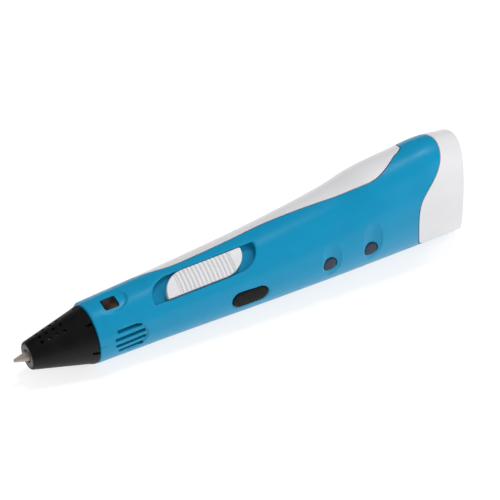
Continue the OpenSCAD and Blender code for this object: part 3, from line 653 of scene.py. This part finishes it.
def white_shell():
    """The far half and the rear end, with the screw seats and the two inlets."""
    shell = carve(shell_wall(), "DIFFERENCE", blue_side(SEAM_GAP))
    holes = [bar("screw_hole", SCREW_HOLE_R, -FAR, 1, facing_controls(*spot)) for spot in SCREW_SPOTS]
    seats = [bar("screw_seat", SCREW_SEAT_R, -FAR, -5, facing_controls(*spot)) for spot in SCREW_SPOTS]
    inlet = [bar("inlet_hole", INLET_HOLE_R, 170, 190, along_pen()),
             bar("inlet_seat", INLET_SEAT_R, 180, 190, along_pen())]
    jack = bar("jack_hole", JACK_HOLE_R, 170, 190, along_pen(z=JACK_Z))
    carve(shell, "DIFFERENCE", merged("screw_holes", holes), merged("screw_seats", seats), *inlet, jack)
    return stand(shell, "case", "white_plastic", "white_shell")


# ---- nozzle end ----

def nozzle_cover():
    """A slotted cone whose sleeve goes into the shells' front ring."""
    inside = [(x, r - COVER_WALL) for x, r in COVER_OUTLINE]
    end = COVER_OUTLINE[-1][0]
    outer_r, inner_r, length = COVER_SLEEVE
    sleeve_start, seat_x, mouth_r = 27.6, 7.5, 4.7
    outline = COVER_OUTLINE + [
        (end, outer_r), (end + length, outer_r), (end + length, inner_r), (sleeve_start, inner_r),
        (sleeve_start, inside[2][1] + 0.3), inside[2], (seat_x, inside[1][1] + 0.45), (seat_x, mouth_r),
        (COVER_OUTLINE[0][0], mouth_r)]
    cover = lathe("nozzle_cover_look", filleted(outline, 0.22), 256)
    holes = []
    first_x, pitch = 10.6, 2.9
    for under in (0, 180):
        for row in COVER_HOLE_ROWS:
            turn = Matrix.Rotation(math.radians(under + row), 4, "X")
            places = [turn @ Matrix.Translation((first_x + pitch * k, 0, 0)) for k in range(4)]
            holes += [bar("hole", COVER_HOLE_R, 4.2, 14, place, 24) for place in places]
    notches = []
    for k in range(6):
        place = Matrix.Rotation(math.radians(60 * k + 30), 4, "X") @ Matrix.Translation((end - 1.3, 0, 0))
        notches.append(prism("notch", box_outline(2.8, 1.1, 0.25, 4), 9.7, 13, place))
    carve(cover, "DIFFERENCE", merged("holes", holes), merged("notches", notches))
    return stand(cover, "case", "black_plastic", "nozzle_cover")


def front_ring():
    outline = [(5.3, 2.5), (5.3, 4.4), (5.6, 4.65), (7.4, 4.65), (7.4, 2.5)]
    return stand(lathe("front_ring_look", filleted(outline, 0.25)), "case", "dark_metal", "front_ring")


def nozzle():
    outline = [(0, 0.35), (0, 0.6), (4.6, 1.75), (5.3, 1.9), (8, 1.9), (8, 3.2), (10.4, 3.2), (10.4, 1.46),
               (16, 1.46), (16, 1.05), (2.2, 1.05), (1.4, 0.35)]
    return stand(lathe("nozzle_look", filleted(outline, 0.12), 96), "case", "nozzle_metal", "nozzle")


def filament_inlet():
    low, high = (pen(c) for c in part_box("filament_inlet"))
    bore, neck, shoulder_x = 1.05, 2.4, 180.05
    outline = [(low.x, bore), (low.x, neck), (shoulder_x, neck), (shoulder_x, high.z), (high.x, high.z),
               (high.x, 1.8), (high.x - 0.7, bore)]
    bush = lathe("filament_inlet_look", filleted(outline, 0.25), 96)
    return stand(bush, "case", "steel", "filament_inlet")


# ---- keys ----

def leaf_top(u, size, corners):
    """Upper edge of a leaf at places along it."""
    (length, width), (tight, sweep) = size, corners
    swept = np.clip((sweep - length / 2 - u) / sweep, 0, 1)
    turned = np.clip((u - length / 2 + tight) / tight, 0, 1)
    rise = width - tight
    return width / 2 - rise * (1 - np.sqrt(1 - swept**2)) - tight * (1 - np.sqrt(1 - turned**2))


def leaf_key(name, size, corners, base, height, edge, step, matrix):
    """A key with leaf corners. height(u, v) is its top, which rolls over an edge radius to its sides."""
    length = size[0]
    ends = 2 * (1 - np.cos(np.linspace(0.03, math.pi / 2, 40)))
    straight = np.arange(ends[-1], length - ends[-1], step)[1:]
    u = np.concatenate([ends, straight, (length - ends)[::-1]]) - length / 2
    high, low = leaf_top(u, size, corners), -leaf_top(-u, size, corners)
    t = np.sin(np.linspace(-1, 1, 71) * math.pi / 2) / 2 + 0.5
    v = low[:, None] + (high - low)[:, None] * t[None, :]
    u_grid = np.repeat(u[:, None], len(t), 1)
    inside = np.clip(outline_gap(u_grid, v, leaf_outline(*size, *corners)), 0, edge)
    drop = edge - np.sqrt(np.clip(edge**2 - (edge - inside) ** 2, 0, None))
    top = np.stack([u_grid, v, height(u_grid, v) - drop], -1)
    bottom = top.copy()
    bottom[..., 2] = base
    return skin(name, np.concatenate([bottom, top[:, ::-1]], 1), matrix)


def key(name, size, base, height, edge, step, matrix):
    """A key with round ends. height(u, v) is its top, which rolls over an edge radius to its sides."""
    length, width = size
    ends = width / 2 * (1 - np.cos(np.linspace(0.06, math.pi / 2, 24)))
    straight = np.arange(ends[-1], length - ends[-1], step)[1:]
    u = np.concatenate([ends, straight, (length - ends)[::-1]]) - length / 2
    into_end = np.maximum(np.abs(u) - (length - width) / 2, 0)
    half = np.sqrt(np.clip((width / 2) ** 2 - into_end**2, 1e-4, None))
    t = np.sin(np.linspace(-1, 1, 61) * math.pi / 2)
    v = half[:, None] * t[None, :]
    u_grid = np.repeat(u[:, None], len(t), 1)
    inside = np.clip(-slot_distance(u_grid, v, length, width), 0, edge)
    drop = edge - np.sqrt(np.clip(edge**2 - (edge - inside) ** 2, 0, None))
    top = np.stack([u_grid, v, height(u_grid, v) - drop], -1)
    bottom = top.copy()
    bottom[..., 2] = base
    rings = np.concatenate([bottom, top[:, ::-1]], 1)
    return skin(name, rings, matrix)


def speed_slider():
    """A leaf-shaped key with cross ribs between two plain ends."""
    pitch, ribs, crown_r, crown = 1.6, 14, 13.5, 0.9
    half_ribbed = pitch * ribs / 2

    def height(u, v):
        rolled = crown - crown_r + np.sqrt(crown_r**2 - v**2)
        scallop = 1 - np.abs(np.cos(math.pi * u / pitch))
        ribbed = smooth((half_ribbed + 0.1 - np.abs(u)) / 0.12)
        land_groove = np.exp(-((np.abs(u) - half_ribbed) / 0.16) ** 2)
        return rolled - 0.45 * ribbed * scallop**1.3 - 0.3 * land_groove

    place = skin_frame(SLIDER_PLACE)
    base = 0.2 - GROOVE_DEPTH
    piece = leaf_key("speed_slider_look", SLIDER_SIZE, SLIDER_CORNERS, base, height, 0.25, 0.1, place)
    half_l, half_w = 1.6, 0.7                   # of the socket underneath that takes the lever
    corners = [(-half_l, -half_w), (half_l, -half_w), (half_l, half_w), (-half_l, half_w)]
    carve(piece, "DIFFERENCE", prism("socket", corners, -3.5, -0.9, place))
    return stand(piece, "slider", "white_plastic", "speed_slider", sharp=50)


def feed_button():
    """A long rubber key with staggered rows of dots."""
    across, rows, dot_r = 1.15, 1.15, 0.42

    def height(u, v):
        low = np.abs(v / rows - 2 * np.round(v / rows / 2)) > 0.5
        row_v = rows * np.round(v / rows)
        shift = np.where(low, across / 2, 0)
        dot_u = across * np.round((u - shift) / across) + shift
        reach = np.hypot(u - dot_u, v - row_v) / dot_r
        margin = smooth((-slot_distance(u, v, *FEED_SIZE) - 0.45) / 0.3)
        dots = 0.3 * np.clip(1 - reach**2, 0, 1) * margin
        return -FEED_FACE - 0.3 - 0.35 * (v / (FEED_SIZE[1] / 2)) ** 2 + dots

    piece = key("feed_button_look", FEED_SIZE, 11.35, height, 0.45, 0.1, facing_controls(*FEED_PLACE))
    return stand(piece, "feed_key", "black_rubber", "feed_button", sharp=60)


def round_button(name, body):
    """A round key with a slight crown."""
    outer = -face(name)

    def height(u, v):
        return outer - 0.25 * (np.hypot(u, v) / BUTTON_R) ** 2

    piece = key(name + "_look", (2 * BUTTON_R, 2 * BUTTON_R), outer - 2.2, height, 0.35, 0.1,
                facing_controls(*ROUND_BUTTONS[name]))
    return stand(piece, body, "grey_button", name, sharp=60)


def window_lens():
    """A dark lens, set a little below the skin, with rolled edges and a slight crown."""
    length, width = (side - 0.2 for side in WINDOW_SIZE)
    rise = [(0, -1.6), (0, -0.95), (0.05, -0.83), (0.16, -0.76), (0.34, -0.72), (1.2, -0.66), (2.0, -0.64)]
    layers = []
    for inset, z in rise:
        scale_x, scale_y = 1 - 2 * inset / length, 1 - 2 * inset / width
        layers.append([(x * scale_x, y * scale_y, z) for x, y in box_outline(length, width, 0.8, 10)])
    piece = skin("window_lens_look", layers, skin_frame(WINDOW_PLACE))
    return stand(piece, "case", "window", "window_lens", sharp=40)


# ---- studio ----

def studio():
    """A pale floor under the pen, an even sky and three soft boxes, one of which is seen in the gloss."""
    low, reach = cad_box[0].z, 4
    corners = [(-reach, -reach, low), (reach, -reach, low), (reach, reach, low), (-reach, reach, low)]
    floor = new_object("studio_floor", corners, [(0, 1, 2, 3)])
    n = Nodes("floor_paper")
    tone = n.mix(n.noise(30), (0.32, 0.32, 0.32, 1), (0.34, 0.34, 0.34, 1))
    surface = n.add("ShaderNodeBsdfPrincipled", {
        "Base Color": tone, "Roughness": 0.9, "Specular IOR Level": 0.1,
        "Emission Color": (1, 1, 1, 1), "Emission Strength": 0.72})
    n.add("ShaderNodeOutputMaterial", {"Surface": surface.outputs["BSDF"]})
    floor.data.materials.append(n.material)
    world = bpy.data.worlds.new("studio")
    world.use_nodes = True
    tree = world.node_tree
    sky = tree.nodes["Background"]
    sky.inputs["Color"].default_value = (1, 1, 1, 1)
    up = tree.nodes.new("ShaderNodeSeparateXYZ")
    fade = tree.nodes.new("ShaderNodeMapRange")     # darker overhead than round the horizon
    fade.inputs["To Min"].default_value, fade.inputs["To Max"].default_value = 0.95, 0.55
    tree.links.new(tree.nodes.new("ShaderNodeTexCoord").outputs["Generated"], up.inputs["Vector"])
    tree.links.new(up.outputs["Z"], fade.inputs["Value"])
    tree.links.new(fade.outputs["Result"], sky.inputs["Strength"])
    world.cycles_visibility.glossy = False
    bpy.context.scene.world = world
    soft_box("overhead_box", (0.215, 0.08, 0.97), 2.2, (0.46, 0.46), 14, False)
    soft_box("streak_box", (0.31, 0.06, 0.95), 2.2, (0.34, 0.34), 5.5, True)
    soft_box("right_fill", (0.60, -0.70, 0.40), 0.9, (0.45, 0.45), 3.0, False)
    bpy.context.scene.view_settings.view_transform = "Standard"


def soft_box(name, direction, distance, size, power, seen_in_gloss):
    light = bpy.data.lights.new(name, "AREA")
    light.shape = "RECTANGLE"
    light.size, light.size_y = size
    light.energy = power
    lamp = bpy.data.objects.new(name, light)
    away = Vector(direction).normalized()
    lamp.location = Vector((-0.05, 0, 0.02)) + away * distance
    lamp.rotation_euler = away.to_track_quat("Z", "Y").to_euler()
    lamp.visible_camera = False
    lamp.visible_glossy = seen_in_gloss
    bpy.context.scene.collection.objects.link(lamp)


def camera():
    """A long lens from the nozzle end, well above the pen."""
    azimuth, elevation, distance = math.radians(-29), math.radians(41.25), 1.352
    target = PEN_ORIGIN + Vector((95, 0, 8)) * MM
    back = Vector((math.sin(azimuth) * math.cos(elevation), -math.cos(azimuth) * math.cos(elevation),
                   math.sin(elevation)))
    data = bpy.data.cameras.new("camera")
    data.sensor_width = 36
    data.lens = 264.6
    data.shift_x, data.shift_y = 0.0102, 0.0198
    data.clip_start, data.clip_end = 0.01, 50
    holder = bpy.data.objects.new("camera", data)
    holder.location = target + back * distance
    holder.rotation_euler = back.to_track_quat("Z", "Y").to_euler()
    bpy.context.scene.collection.objects.link(holder)
    bpy.context.scene.camera = holder


# ---- the pen ----

for row in frame["record"]["subparts"]:
    for place in frame["nodes"][row["node"]].material_slots:
        place.material = finishes[row["material_slot"]]

blue_shell()
white_shell()
nozzle_cover()
front_ring()
nozzle()
filament_inlet()
window_lens()
speed_slider()
feed_button()
round_button("load_button", "load_key")
round_button("unload_button", "unload_key")
studio()
camera()
